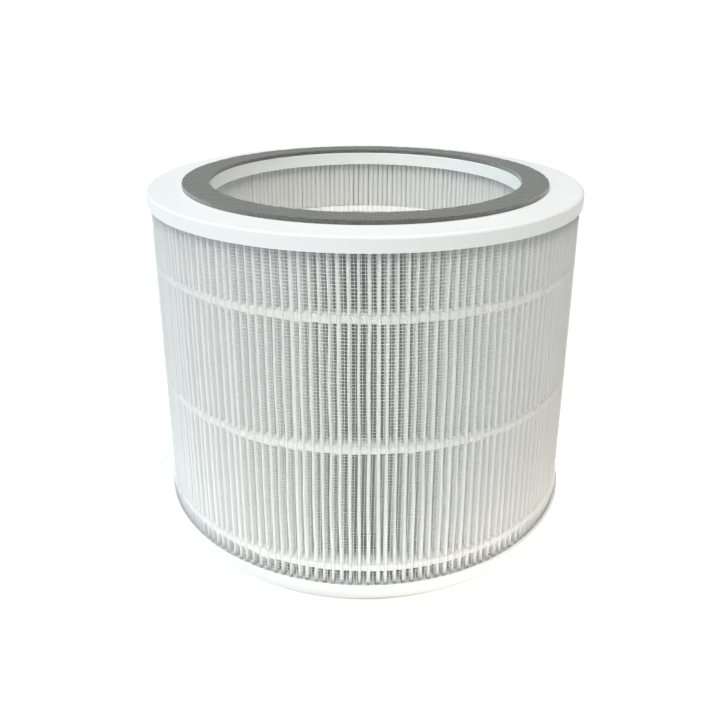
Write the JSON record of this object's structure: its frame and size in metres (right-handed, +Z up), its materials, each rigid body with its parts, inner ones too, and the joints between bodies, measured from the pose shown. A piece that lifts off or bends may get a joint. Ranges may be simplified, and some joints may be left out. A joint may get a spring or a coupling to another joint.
{
  "type": "air purifier filter cartridge",
  "caption": "Round white pleated air filter cartridge with ring-shaped end caps, a grey foam sealing gasket on top and an open bore.",
  "frame": {"origin": "centre of the underside of the bottom end cap", "axes": "+Z up along the cartridge's axis, towards the gasket; the media's seam is at the back left, seen from -Y"},
  "size_m": [0.193, 0.193, 0.152],
  "materials": {
    "cap_plastic": "white moulded, satin",
    "gasket_foam": "grey open-cell foam, matt",
    "adhesive_film": "thin clear-white film",
    "potting_glue": "milky glue, smooth",
    "filter_media": "white nonwoven, fibrous and matt",
    "hot_melt_glue": "milky white glue, soft gloss",
    "net_thread": "fine white woven thread"
  },
  "bodies": {
    "root": {"bottom_end_cap": "cap_plastic", "top_end_cap": "cap_plastic", "top_gasket": "gasket_foam", "gasket_adhesive": "adhesive_film", "bottom_potting": "potting_glue", "top_potting": "potting_glue", "pleated_media": "filter_media", "media_seam_strip": "hot_melt_glue", "outer_bead_lower": "hot_melt_glue", "outer_bead_middle": "hot_melt_glue", "outer_bead_upper": "hot_melt_glue", "inner_bead_lower": "hot_melt_glue", "inner_bead_middle": "hot_melt_glue", "inner_bead_upper": "hot_melt_glue", "prefilter_net": "net_thread", "net_seam_strip": "net_thread"}
  },
  "joints": []
}
